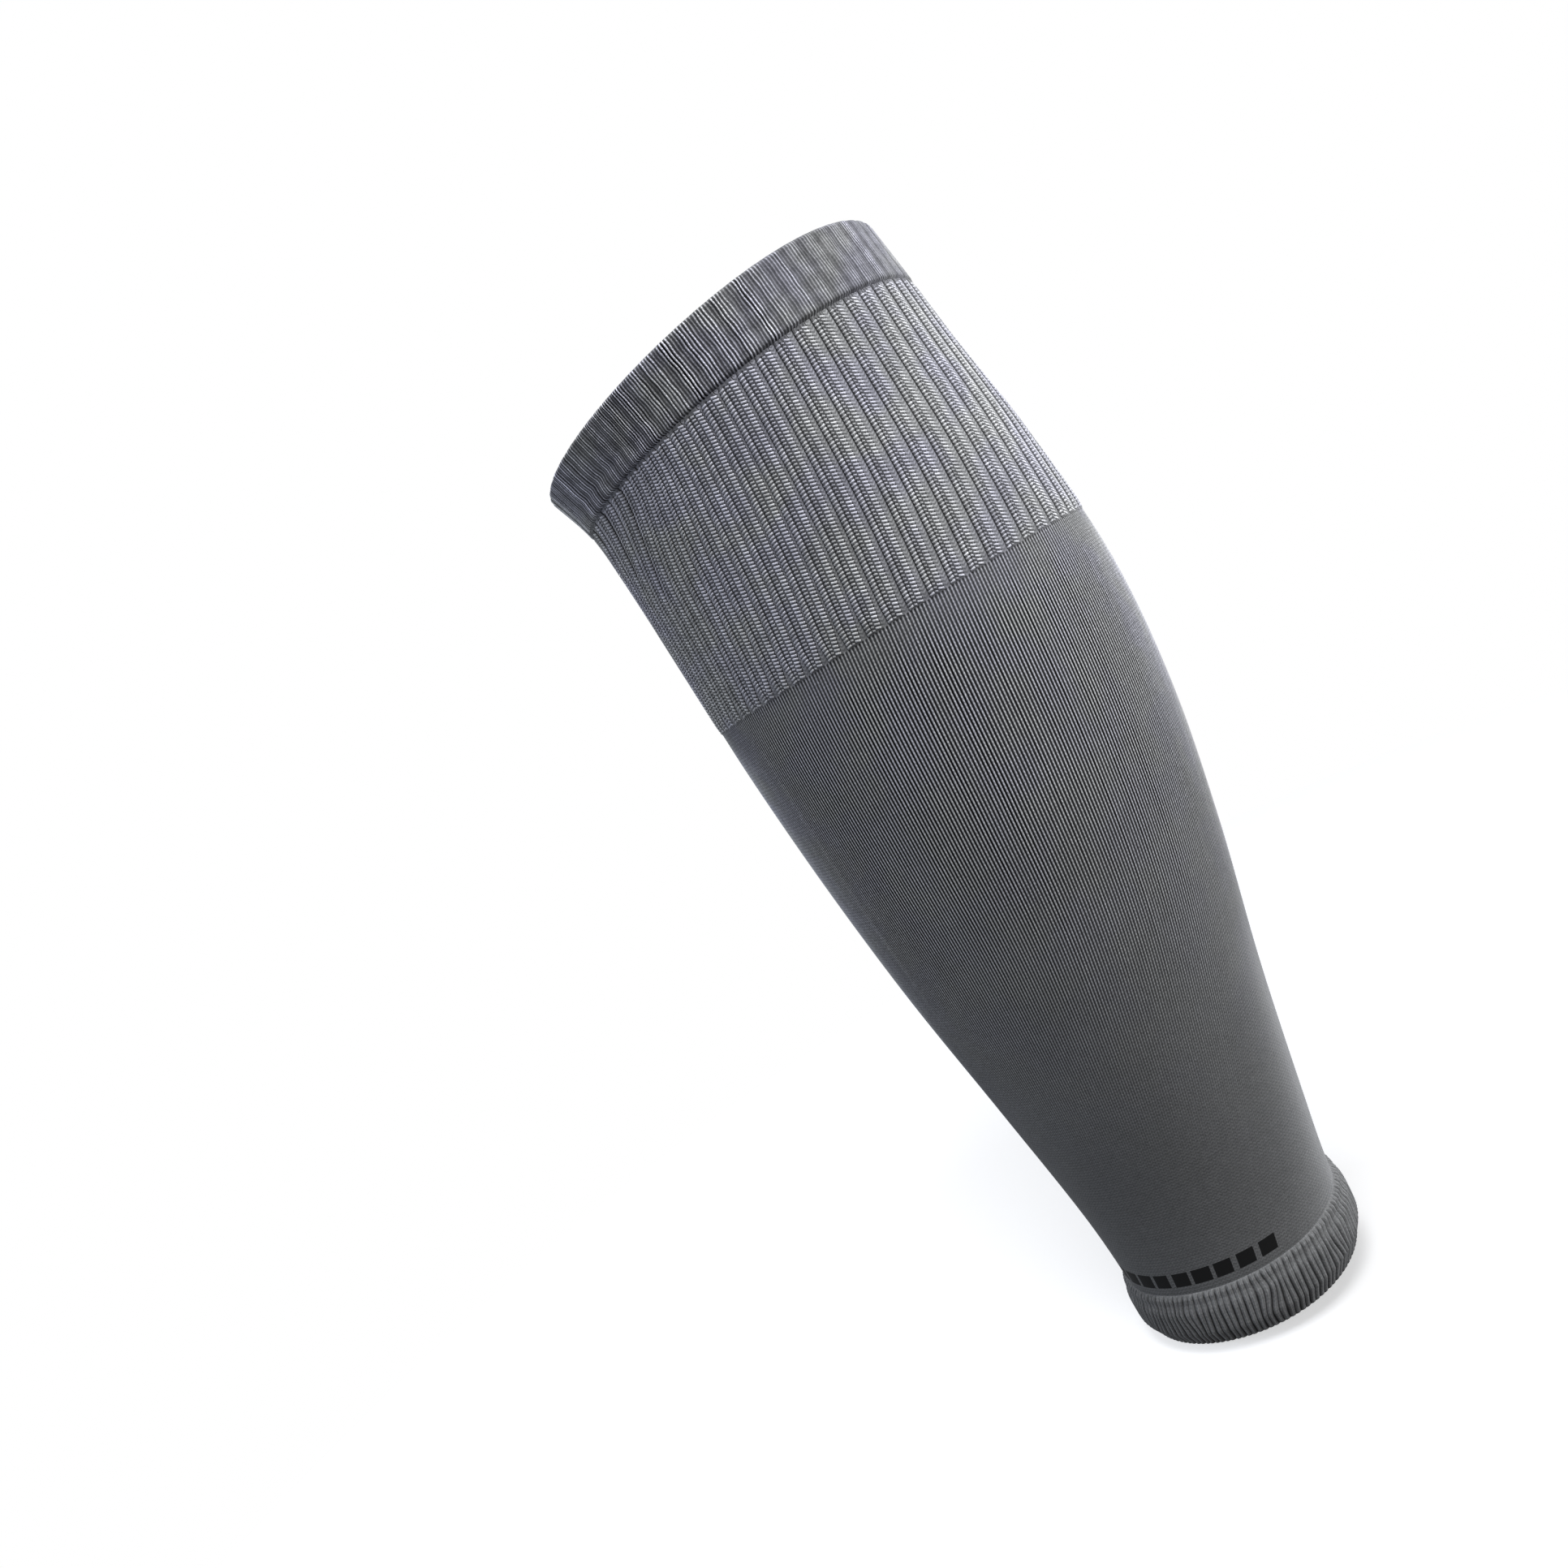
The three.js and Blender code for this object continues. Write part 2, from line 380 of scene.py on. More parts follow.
world = bpy.data.worlds.new("white_studio")
world.use_nodes = True
sky = Wiring(world.node_tree)
seen = sky.add("ShaderNodeLightPath").outputs["Is Camera Ray"]
background = world.node_tree.nodes["Background"]
background.inputs["Color"].default_value = (*white, 1)
sky.feed(background.inputs["Strength"], sky.mix(seen, ambient, 1.0))
bpy.context.scene.world = world
bpy.context.scene.view_settings.view_transform = "Standard"
print(f"{len(softboxes)} softboxes, floor at {(hem_level - floor_gap) / MM:.1f} mm")

# %% [markdown]
# ## Rings of cloth
# Each zone is a ring of cloth with a thickness: its rows go up the outer face, over the edge and
# down the inner face, and its columns are the wales. Solidify could thicken a single face, but
# here the rows decide how far the knit shows and how an edge folds. The mesh carries what the
# later steps need: how far round the leg a column is, how strongly the knit shows in a row, how
# clearly it shows round the leg, which way is outwards, and a UV map whose U goes round the leg
# and whose V goes up it.

# %% Cloth ring
def cloth_ring(name, columns, rows, clearer=None):
    """A closed ring of cloth. Rows are (height, outwards, relief, outer), clearer takes a wale."""
    height, outwards, relief, outer = (np.array(column, float) for column in zip(*rows))
    count = len(rows)
    share = np.arange(columns) / columns
    h, around = np.meshgrid(height, share, indexing="ij")
    points, away = leg_point(h, around * 2 * np.pi, np.repeat(outwards[:, None], columns, 1))
    i, j = np.meshgrid(np.arange(count), np.arange(columns), indexing="ij")
    above, beside = (i + 1) % count, (j + 1) % columns
    corners = ((i, j), (i, beside), (above, beside), (above, j))
    quads = np.stack([row * columns + column for row, column in corners], -1)
    mesh = bpy.data.meshes.new(name)
    mesh.vertices.add(count * columns)
    mesh.vertices.foreach_set("co", points.reshape(-1))
    mesh.loops.add(quads.size)
    mesh.loops.foreach_set("vertex_index", quads.reshape(-1).astype(np.int32))
    mesh.polygons.add(quads.size // 4)
    mesh.polygons.foreach_set("loop_start", np.arange(0, quads.size, 4, dtype=np.int32))
    mesh.update(calc_edges=True)
    u = np.stack([j, j + 1, j + 1, j], -1) / columns
    v = np.stack([height[i], height[i], height[above], height[above]], -1) / sleeve_length
    mesh.uv_layers.new(name="knit").data.foreach_set("uv", np.stack([u, v], -1).reshape(-1))
    clear = clearer(np.degrees(around * 2 * np.pi)) if clearer else np.ones_like(around)
    carried = {"round": around, "relief": relief[i], "outer": outer[i], "clear": clear}
    for label, values in carried.items():
        layer = mesh.attributes.new(label, "FLOAT", "POINT")
        layer.data.foreach_set("value", values.reshape(-1))
    layer = mesh.attributes.new("away", "FLOAT_VECTOR", "POINT")
    layer.data.foreach_set("vector", away.reshape(-1))
    mesh.shade_smooth()
    ring = bpy.data.objects.new(name, mesh)
    bpy.context.scene.collection.objects.link(ring)
    print(name, "faces", len(mesh.polygons))
    return ring


def level_rows(low, high, count, outwards, relief=1.0, outer=1):
    """Evenly spaced rows, both ends included. The relief may be a function of the height."""
    show = relief if callable(relief) else lambda height: relief
    return [(h, outwards, show(h), outer) for h in np.linspace(low, high, count + 1)]


outer_turn = 2.0
columns_per_line, columns_per_rib = 4, 16


def folded_rows(edge, upwards, outwards, wall, count):
    """Rows round a folded edge. They belong to the outer face as far as outer_turn, in radians."""
    radius = wall / 2
    rows = []
    for turn in np.linspace(0, math.pi, count + 1):
        height = edge - upwards * radius * (1 - math.sin(turn))
        showing = max(0.0, math.cos(turn))
        inwards = radius * (1 - math.cos(turn))
        rows.append((height, outwards - inwards, showing, float(turn < outer_turn)))
    return rows


# %% [markdown]
# ## Relief of the knit
# Ribs and wales repeat round the leg. A bump map would keep their edges flat at the outline, and
# an array of single ribs would leave seams, so one geometry tree raises them on every ring alike.
# It has named inputs: how many lines and ribs go round, how deep they are, and how uneven the yarn
# is. Two small curves draw a rib's section and how clearly the fine lines stand out across a rib.
# Lines differ one by one and in bunches. The tree also keeps what it raised as attributes, so that
# the yarn's colour follows the same relief and paints shade into the grooves between ribs.

# %% Knit tree
line_swing, bunch_swing = (0.5, 1.2), (0.45, 1.25)
bunch_size = 2.7
hair = 0.01


def knit_tree(name, rib_section, line_strength):
    """A geometry tree that raises fine lines and broad ribs on a ring of cloth."""
    inputs = {
        "Cloth": "Geometry", "Lines": "Float", "Line Depth": "Float", "Ribs": "Float",
        "Recess At": "Float", "Rib Depth": "Float", "Unevenness": "Float", "Yarn": "Material",
    }
    tree, w, given, result = new_tree("GeometryNodeTree", name, inputs, {"Cloth": "Geometry"})
    around, relief, away = w.carried("round"), w.carried("relief"), w.carried("away", "FLOAT_VECTOR")
    line_place = w.math("MULTIPLY", around, given["Lines"])
    line_wave = w.math("COSINE", w.math("MULTIPLY", line_place, 2 * math.pi))
    rib_turn = w.math("SUBTRACT", w.math("MULTIPLY", around, given["Ribs"]), given["Recess At"])
    rib_place = w.math("FRACT", w.math("ADD", rib_turn, 1.0))
    rib = w.curve(rib_place, rib_section)
    line_number = w.math("FLOOR", w.math("ADD", line_place, hair))
    bunch_number = w.math("FLOOR", w.math("DIVIDE", line_number, bunch_size))
    one_by_one = w.mix(w.by_chance(line_number), *line_swing)
    in_bunches = w.mix(w.by_chance(bunch_number), *bunch_swing)
    uneven = w.mix(given["Unevenness"], 1.0, w.math("MULTIPLY", one_by_one, in_bunches))
    shown = w.math("MULTIPLY", relief, w.carried("clear"))
    drawn = w.math("MULTIPLY", w.curve(rib_place, line_strength), uneven)
    strength = w.math("MULTIPLY", drawn, shown)
    line_height = w.math("MULTIPLY", strength, given["Line Depth"])
    line_rise = w.math("MULTIPLY", w.math("MULTIPLY", line_wave, -0.5), line_height)
    rib_height = w.math("MULTIPLY", w.math("SUBTRACT", rib, 1.0), given["Rib Depth"])
    rise = w.math("ADD", line_rise, w.math("MULTIPLY", rib_height, relief))
    offset = w.add("ShaderNodeVectorMath", {0: away, "Scale": rise}, operation="SCALE").outputs[0]
    moved = {"Geometry": given["Cloth"], "Offset": offset}
    cloth = w.add("GeometryNodeSetPosition", moved).outputs[0]
    kept_values = {"strength": strength, "rib": w.mix(relief, 1.0, rib), "grown": relief}
    for label, value in kept_values.items():
        kept = {"Geometry": cloth, "Name": label, "Value": value}
        cloth = w.add("GeometryNodeStoreNamedAttribute", kept, data_type="FLOAT", domain="POINT").outputs[0]
    cloth = w.add("GeometryNodeRealizeInstances", {"Geometry": cloth}).outputs[0]
    cloth = w.add("GeometryNodeSetMaterial", {"Geometry": cloth, "Material": given["Yarn"]}).outputs[0]
    w.feed(result["Cloth"], cloth)
    return tree


def grow(piece, tree, **values):
    """Runs a geometry tree on a piece with its named inputs, and keeps the result as plain mesh."""
    modifier = piece.modifiers.new(tree.name, "NODES")
    modifier.node_group = tree
    named = {label.replace("_", " ").title(): value for label, value in values.items()}
    for item in tree.interface.items_tree:
        if item.in_out == "INPUT" and item.name in named:
            modifier[item.identifier] = named[item.name]
    graph = bpy.context.evaluated_depsgraph_get()
    mesh = bpy.data.meshes.new_from_object(
        piece.evaluated_get(graph), preserve_all_data_layers=True, depsgraph=graph
    )
    piece.modifiers.clear()
    piece.data = mesh
    mesh.calc_loop_triangles()
    print(piece.name, "triangles", len(mesh.loop_triangles))
    return piece


# %% [markdown]
# ## Yarn
# The cloth is a matt grey yarn with a slight blue cast. Seen close, every wale is two bright legs
# of loops with a dark gap between them, partly the dark inlay seen through and partly painted
# shade. An image of knitting could be laid on it, but a drawn pattern stays sharp at any distance
# and keeps to the wales of each ring. One shader group draws the legs from the UV map, a second the
# grooves and holes of a broad rib, where the yarn paints shade, and a third the unevenness of the
# yarn. Each zone's material gives them its own values and mixes its colours with what they put out.
# A little sheen stands for the fine fibres that lighten the cloth where it turns away.

# %% Helpers for shader groups
def wave(w, turns):
    """A wave from 0 to 1 that is 1 at every whole turn."""
    return w.math("MULTIPLY_ADD", w.math("COSINE", w.math("MULTIPLY", turns, 2 * math.pi)), 0.5, 0.5)


def knit_place(w):
    """Round and up the leg, from the knit UV map."""
    place = w.add("ShaderNodeUVMap", uv_map="knit").outputs[0]
    return w.add("ShaderNodeSeparateXYZ", {0: place}).outputs


def attribute(w, label):
    """A value that the mesh carries."""
    return w.add("ShaderNodeAttribute", attribute_name=label).outputs["Fac"]


def noise(w, place, scale):
    """Soft blotches, from 0 to 1."""
    inputs = {"Vector": place, "Scale": scale, "Detail": 2.0}
    return w.add("ShaderNodeTexNoise", inputs).outputs["Fac"]


# %% Loop group
crown_edge = 0.55
low_loop = 0.6


def loop_group():
    """Bright legs of loops with dark gaps between. Rest is what shows where the knit is smooth."""
    inputs = dict.fromkeys(("Lines", "Courses", "Slant", "Strength", "Rest", "Gap Share"), "Float")
    outputs = {"Crown": "Float", "Loop": "Float", "Height": "Float"}
    tree, w, given, result = new_tree("ShaderNodeTree", "knit_loops", inputs, outputs)
    place = knit_place(w)
    line = w.math("MULTIPLY", place["X"], given["Lines"])
    across = w.math("SUBTRACT", w.math("FRACT", line), 0.5)
    gap_end = w.math("ADD", given["Gap Share"], crown_edge)
    crown = w.step(wave(w, across), given["Gap Share"], gap_end)
    side = w.math("MULTIPLY_ADD", w.math("MODULO", w.math("FLOOR", line), 2.0), 2.0, -1.0)
    slanted = w.math("MULTIPLY", w.math("MULTIPLY", across, side), given["Slant"])
    course = w.math("MULTIPLY_ADD", place["Y"], given["Courses"], slanted)
    loop = wave(w, course)
    shown = w.mix(given["Strength"], given["Rest"], crown)
    w.feed(result["Crown"], shown)
    w.feed(result["Loop"], loop)
    w.feed(result["Height"], w.math("MULTIPLY", w.mix(loop, low_loop, 1.0), shown))
    return tree


# %% Rib mark group
# Shares of a rib over which a mark fades, and how far the strip's loops lean
strip_edge, groove_edge, hole_edge = (0.12, 0.16), (0.01, 0.04), (0.02, 0.06)
hole_loop = (0.3, 0.8)
strip_lean = -4.0


def rib_group():
    """The sunk strip between two ribs, the fine grooves on its sides and the holes along a rib."""
    inputs = dict.fromkeys(("Ribs", "Recess At", "Recess Width", "Courses", "Hole At"), "Float")
    outputs = dict.fromkeys(("Strip", "Strip Loop", "Groove", "Hole"), "Float")
    tree, w, given, result = new_tree("ShaderNodeTree", "rib_marks", inputs, outputs)
    place = knit_place(w)
    turn = w.math("SUBTRACT", w.math("MULTIPLY", place["X"], given["Ribs"]), given["Recess At"])
    share = w.math("FRACT", w.math("ADD", turn, 1.0))
    away = w.math("MINIMUM", share, w.math("SUBTRACT", 1.0, share))
    edge = w.math("ABSOLUTE", w.math("SUBTRACT", away, given["Recess Width"]))
    leaning = w.math("MULTIPLY_ADD", place["Y"], given["Courses"], w.math("MULTIPLY", away, strip_lean))
    w.feed(result["Strip Loop"], wave(w, leaning))
    w.feed(result["Strip"], w.math("SUBTRACT", 1.0, w.step(away, *strip_edge)))
    w.feed(result["Groove"], w.math("SUBTRACT", 1.0, w.step(edge, *groove_edge)))
    beside = w.math("ABSOLUTE", w.math("SUBTRACT", share, given["Hole At"]))
    open_loop = w.step(wave(w, w.math("MULTIPLY", place["Y"], given["Courses"])), *hole_loop)
    hole = w.math("MULTIPLY", w.math("SUBTRACT", 1.0, w.step(beside, *hole_edge)), open_loop)
    w.feed(result["Hole"], hole)
    return tree


# %% Yarn tone group
tone_scales = {"Fine": 2200.0, "Middle": 320.0, "Broad": 45.0}
tone_gain = 4.0
darkest_tone = 0.2


def tone_group():
    """How the yarn's tone varies: from fibre to fibre and in broad soft patches."""
    inputs = dict.fromkeys(tone_scales, "Float")
    tree, w, given, result = new_tree("ShaderNodeTree", "yarn_tone", inputs, {"Tone": "Float"})
    place = w.add("ShaderNodeTexCoord").outputs["Object"]
    tone = None
    for label, scale in tone_scales.items():
        swing = w.math("MULTIPLY", w.math("SUBTRACT", noise(w, place, scale), 0.5), given[label])
        share = w.math("MULTIPLY_ADD", swing, tone_gain, 1.0)
        tone = share if tone is None else w.math("MULTIPLY", tone, share)
    w.feed(result["Tone"], w.math("MAXIMUM", tone, darkest_tone))
    return tree


groups = {"loops": loop_group(), "marks": rib_group(), "tone": tone_group()}
print("shader groups:", ", ".join(group.name for group in groups.values()))

# %% Yarn material
sheen, sheen_roughness, sheen_tint = 0.12, 0.4, (0.92, 0.95, 1.0, 1)
gloss = 0.15
no_cast, knee_cast = (1.0, 1.0, 1.0, 1), (0.97, 0.96, 1.1, 1)
cast_scale, cast_patches = 70.0, (0.35, 0.65)
fine_swing, broad_swing = 0.25, 0.06
loop_slant = 0.5
gap_roughness, crown_roughness = 0.95, 0.8


def grey(value):
    """The yarn's grey, a little blue."""
    return (0.98 * value, value, 1.03 * value, 1)


def placed_group(w, key, **values):
    """The outputs of a shader group that gets these values."""
    node = w.add("ShaderNodeGroup", node_tree=groups[key])
    for label, value in values.items():
        w.feed(node.inputs[label.replace("_", " ").title()], value)
    return node.outputs


def new_cloth(name):
    """A matt cloth material, its wiring and its surface inputs."""
    material = bpy.data.materials.new(name)
    material.use_nodes = True
    surface = material.node_tree.nodes["Principled BSDF"].inputs
    surface["Specular IOR Level"].default_value = gloss
    surface["Sheen Weight"].default_value = sheen
    surface["Sheen Roughness"].default_value = sheen_roughness
    surface["Sheen Tint"].default_value = sheen_tint
    return material, Wiring(material.node_tree), surface


def tinted(w, colour, **swings):
    """A colour with the yarn's unevenness on it, and with bluer patches towards the knee."""
    tone = placed_group(w, "tone", **swings)["Tone"]
    shade = w.add("ShaderNodeCombineColor", dict.fromkeys(range(3), tone)).outputs[0]
    colour = w.colours(1.0, colour, shade, blend="MULTIPLY")
    place = w.add("ShaderNodeTexCoord").outputs["Object"]
    level = w.add("ShaderNodeSeparateXYZ", {0: place}).outputs["Z"]
    up = w.step(level, hem_level, hem_level + sleeve_length)
    blue = w.math("MULTIPLY", up, w.step(noise(w, place, cast_scale), *cast_patches))
    cast = w.colours(blue, no_cast, knee_cast)
    return w.colours(1.0, colour, cast, blend="MULTIPLY")


def yarn_material(
    name, crown, gap_inlay_and_shade, rest, loop_share, bump, gap_share=0.25, patches=0.15,
    unclear_rest=None, sunk=None, marked=False, stripe=None,
):
    """Knitted yarn. Crown is the grey of the legs of loops; the grey between them is partly the dark
    inlay seen through and partly painted shade. Rest is the share of crown where it is smooth.

    Unclear rest is that share where the lines fade, and sunk is the grey of the painted shade in the
    grooves between ribs. A marked yarn has the strips of the rib panel, with painted shade in the
    grooves beside them and in the holes. Stripe draws a mask for black yarn.
    """
    material, w, surface = new_cloth(name)
    if unclear_rest:
        rest = w.mix(attribute(w, "clear"), unclear_rest, rest)
    loops = placed_group(
        w, "loops", lines=float(lines), courses=float(courses), slant=loop_slant,
        strength=attribute(w, "strength"), rest=rest, gap_share=gap_share,
    )
    # Where the legs and courses part, the colour falls to the grey between loops: partly the dark inlay
    # seen through, partly painted shade
    share = w.math("MULTIPLY", loops["Crown"], w.mix(loops["Loop"], 1 - loop_share, 1.0))
    colour = w.colours(share, grey(gap_inlay_and_shade), grey(crown))
    height = loops["Height"]
    # Painted shade: the grooves between ribs are darkened towards the sunk grey
    if sunk:
        colour = w.colours(attribute(w, "rib"), grey(sunk), colour)
    if marked:
        marks = placed_group(
            w, "marks", ribs=float(ribs), recess_at=recess_at, recess_width=recess_width,
            courses=float(courses), hole_at=hole_at,
        )
        # The strip's loops part over a darker grey, partly the dark inlay and partly painted shade
        strip = w.colours(marks["Strip Loop"], grey(strip_gap_inlay_and_shade), grey(strip_grey))
        grown = attribute(w, "grown")
        colour = w.colours(w.math("MULTIPLY", marks["Strip"], grown), colour, strip)
        # Painted shade: the fine grooves beside the strip and the holes along a rib are darkened
        dark = w.math("MULTIPLY", w.math("MAXIMUM", marks["Groove"], marks["Hole"]), grown)
        colour = w.colours(dark, colour, grey(groove_and_hole_shade))
        height = w.math("SUBTRACT", height, dark)
    colour = tinted(w, colour, fine=fine_swing, middle=patches, broad=broad_swing)
    if stripe:
        colour = w.colours(stripe(w), colour, grey(stripe_grey))
    w.feed(surface["Base Color"], colour)
    w.feed(surface["Roughness"], w.mix(loops["Crown"], gap_roughness, crown_roughness))
    bumped = w.add("ShaderNodeBump", {"Height": height, "Strength": 1.0, "Distance": bump})
    w.feed(surface["Normal"], bumped.outputs["Normal"])
    return material


# %% [markdown]
# ## Calf panel
# Plain knit over the calf: 192 wales round the leg, and each shows as two fine bright lines. The
# lines stand out where the calf stretches them apart, soften under the ribs and towards the back,
# and sink into a smooth face near the ankle. Every loop could be modelled, but the mesh would be
# far too heavy. So the panel is one ring whose tree raises the lines, and the yarn draws the loops
# on them. A broken stripe of black yarn marks the ankle.

# %% Calf panel
calf_wall = 1.2 * MM
wales = 192
lines = 2 * wales
course_pitch = 0.92 * MM
courses = round(sleeve_length / course_pitch)
smooth_below = 40 * MM
clear_above = 165 * MM
border_height, border_softness = 14 * MM, 0.4
inner_relief = 0.6
back_softness, towards_back = 0.4, (278, 318)


def clearness(height):
    """How clearly the wales stand out at a height. They soften again under the ribs."""
    below_ribs = rising(height, calf_panel_top - border_height, calf_panel_top)
    return float(rising(height, smooth_below, clear_above) * (1 - border_softness * below_ribs))


def inner_clearness(height):
    """The inner face shows the same knit, more softly."""
    return inner_relief * clearness(height)


def plain_clearness(wale):
    """The lines soften towards the back of the calf."""
    return 1 - back_softness * rising(wale, *towards_back)


# %% Broken stripe
stripe_low, stripe_high = 17.5 * MM, 22 * MM
stripe_from, stripe_to = 0.49, 0.765
stripe_dashes = 9
dash_share = 0.8
stripe_grey = 0.003


def broken_stripe(w):
    """A plain row of dashes in black yarn, stepped stitch by stitch as a knitted mark is."""
    place = knit_place(w)
    steps_round, steps_up = float(lines), courses * 2.0
    wale = w.math("DIVIDE", w.math("FLOOR", w.math("MULTIPLY", place["X"], steps_round)), steps_round)
    course = w.math("DIVIDE", w.math("FLOOR", w.math("MULTIPLY", place["Y"], steps_up)), steps_up)
    middle = (stripe_low + stripe_high) / 2 / sleeve_length
    from_middle = w.math("ABSOLUTE", w.math("SUBTRACT", course, middle))
    inside = w.math("LESS_THAN", from_middle, (stripe_high - stripe_low) / 2 / sleeve_length)
    along = w.math("DIVIDE", w.math("SUBTRACT", wale, stripe_from), stripe_to - stripe_from)
    on_leg = w.math("LESS_THAN", w.math("ABSOLUTE", w.math("SUBTRACT", along, 0.5)), 0.5)
    in_dash = w.math("FRACT", w.math("MULTIPLY", along, float(stripe_dashes)))
    dash = w.math("LESS_THAN", in_dash, dash_share)
    return w.math("MULTIPLY", w.math("MULTIPLY", inside, on_leg), dash)


print(f"a stripe {(stripe_high - stripe_low) / MM:.1f} mm high with {stripe_dashes} dashes")

# %% Calf panel ring
# The ends reach past the zone, and a thin row there keeps the shading flat up to the edge
thin_row = 0.05 * MM
calf_low, calf_high = calf_panel_base - 0.5 * MM, calf_panel_top + 0.3 * MM
calf_steps, calf_inner_steps = 55, 5
plain_yarn = yarn_material(
    "plain_yarn", crown=0.41, gap_inlay_and_shade=0.002, rest=0.23, loop_share=0.3, bump=0.12 * MM,
    gap_share=0.37, patches=0.05, unclear_rest=0.6, stripe=broken_stripe,
)
no_rib = ((0, 1), (1, 1))
plain_knit = knit_tree("plain_knit", no_rib, no_rib)
calf_panel = cloth_ring("calf_knit", columns_per_line * lines, [
    (calf_low, 0, 0, 1),
    *level_rows(calf_low + thin_row, calf_high - thin_row, calf_steps, 0, clearness),
    (calf_high, 0, 0.5, 1),
    *level_rows(calf_panel_top, calf_panel_base, calf_inner_steps, -calf_wall, inner_clearness, 0),
], plain_clearness)
grow(
    calf_panel, plain_knit, lines=lines, line_depth=0.3 * MM, ribs=1, recess_at=0, rib_depth=0,
    unevenness=0.3, yarn=plain_yarn,
)

# %% [markdown]
# ## Rib panel
# Sixty-four broad ribs: two raised wales and one sunk wale each. The sunk wale is a smooth strip
# between steep sides. The raised wales are chains of loops whose legs lean together in a V. One
# rib could be modelled and repeated round the leg, but the leg isn't round. A curve that draws a
# rib's section does the same for every rib, wherever the leg bends.

# %% Rib panel
rib_wall = 1.6 * MM
rib_rise = 0.4 * MM
rib_growth = 2.5 * MM
start_rise, start_relief, rib_inner_relief = 0.3, 0.35, 0.3
rib_low, rib_high = rib_panel_base - 0.2 * MM, rib_panel_top + 0.3 * MM
rib_steps, rib_inner_steps = 60, 4
shin_clearness, past_shin = 0.45, (205, 255)
recess_width = 0.155
hole_at = 0.425
strip_grey = 0.22
# Grey between the strip's loops: partly the dark inlay, partly painted shade
strip_gap_inlay_and_shade = 0.1
# Grey of the painted shade in the grooves and holes of the ribs
groove_and_hole_shade = 0.02
rib_depth = 0.3 * MM
rib_section = (
    (0, 0.35), (0.0625, 0.35), (0.125, 0.05), (0.1875, 0.7), (0.25, 1.0),
    (0.375, 0.85), (0.4375, 0.4), (0.5, 0.85), (0.5625, 0.7), (0.625, 0.9),
    (0.75, 1.0), (0.8125, 0.8), (0.875, 0.05), (0.9375, 0.35), (1, 0.35),
)
rib_lines = ((0, 0.1), (0.2, 0.3), (0.3, 1), (0.7, 1), (0.8, 0.3), (1, 0.1))
rib_yarn = yarn_material(
    "rib_yarn", crown=0.14, gap_inlay_and_shade=0.05, rest=0.5, loop_share=0.3, bump=0.08 * MM, marked=True
)
broad_rib = knit_tree("broad_rib", rib_section, rib_lines)


def rib_rows():
    """Rows of the rib panel. It starts flush with the calf panel, and its ribs rise from there."""
    rows = []
    between = np.linspace(rib_low + thin_row, rib_high - thin_row, rib_steps + 1)
    for h in (rib_low, *between, rib_high):
        grown = min(1.0, max(0.0, (h - rib_panel_base) / rib_growth))
        rise = rib_rise * (start_rise + (1 - start_rise) * grown)
        rows.append((h, rise, start_relief + (1 - start_relief) * grown, 1))
    return rows


def stitch_clearness(wale):
    """Single stitches hardly show at the shin, where the cloth isn't stretched."""
    return shin_clearness + (1 - shin_clearness) * rising(wale, *past_shin)


rib_panel = cloth_ring("rib_knit", columns_per_rib * ribs, [
    *rib_rows(),
    *level_rows(
        rib_panel_top, rib_panel_base, rib_inner_steps, rib_rise - rib_wall, rib_inner_relief, 0
    ),
], stitch_clearness)
grow(
    rib_panel, broad_rib, lines=lines, line_depth=0.03 * MM, ribs=ribs, recess_at=recess_at,
    rib_depth=rib_depth, unevenness=0.3, yarn=rib_yarn,
)

# %% [markdown]
# ## Stitch legs
# On the raised wales every course shows three short legs of yarn: two dim ones that lean together
# and a bright one on the rib's shoulder, whose tone is a painted highlight where the rib's flank
# faces the key light. A bump pattern would lie flat where the light comes from the side, so each leg
# is a small bead of yarn with six faces. A geometry tree counts ribs, legs and courses, finds both
# ends of a leg on the ribbed cloth through its UV map, and lays a bead between them. Near the shin,
# where the cloth isn't stretched, the beads come close to one tone.

# %% Yarn bead
def yarn_bead():
    """A short bar of yarn with a flat back, one long, one wide and one high."""
    section = ((-0.5, -0.2), (0.5, -0.2), (0.3, 0.5), (-0.3, 0.5))
    points = [(x, y, z) for x in (-0.5, 0.5) for y, z in section]
    faces = [(0, 3, 2, 1), (4, 5, 6, 7), (0, 1, 5, 4), (1, 2, 6, 5), (2, 3, 7, 6), (3, 0, 4, 7)]
    mesh = bpy.data.meshes.new("yarn_bead")
    mesh.from_pydata(points, [], faces)
    mesh.shade_smooth()
    return bpy.data.objects.new("yarn_bead", mesh)


# %% Stitch tree
bead_overlap = 1.1
bead_swing = 0.2
bead_seed = 7
outer_face = 0.99


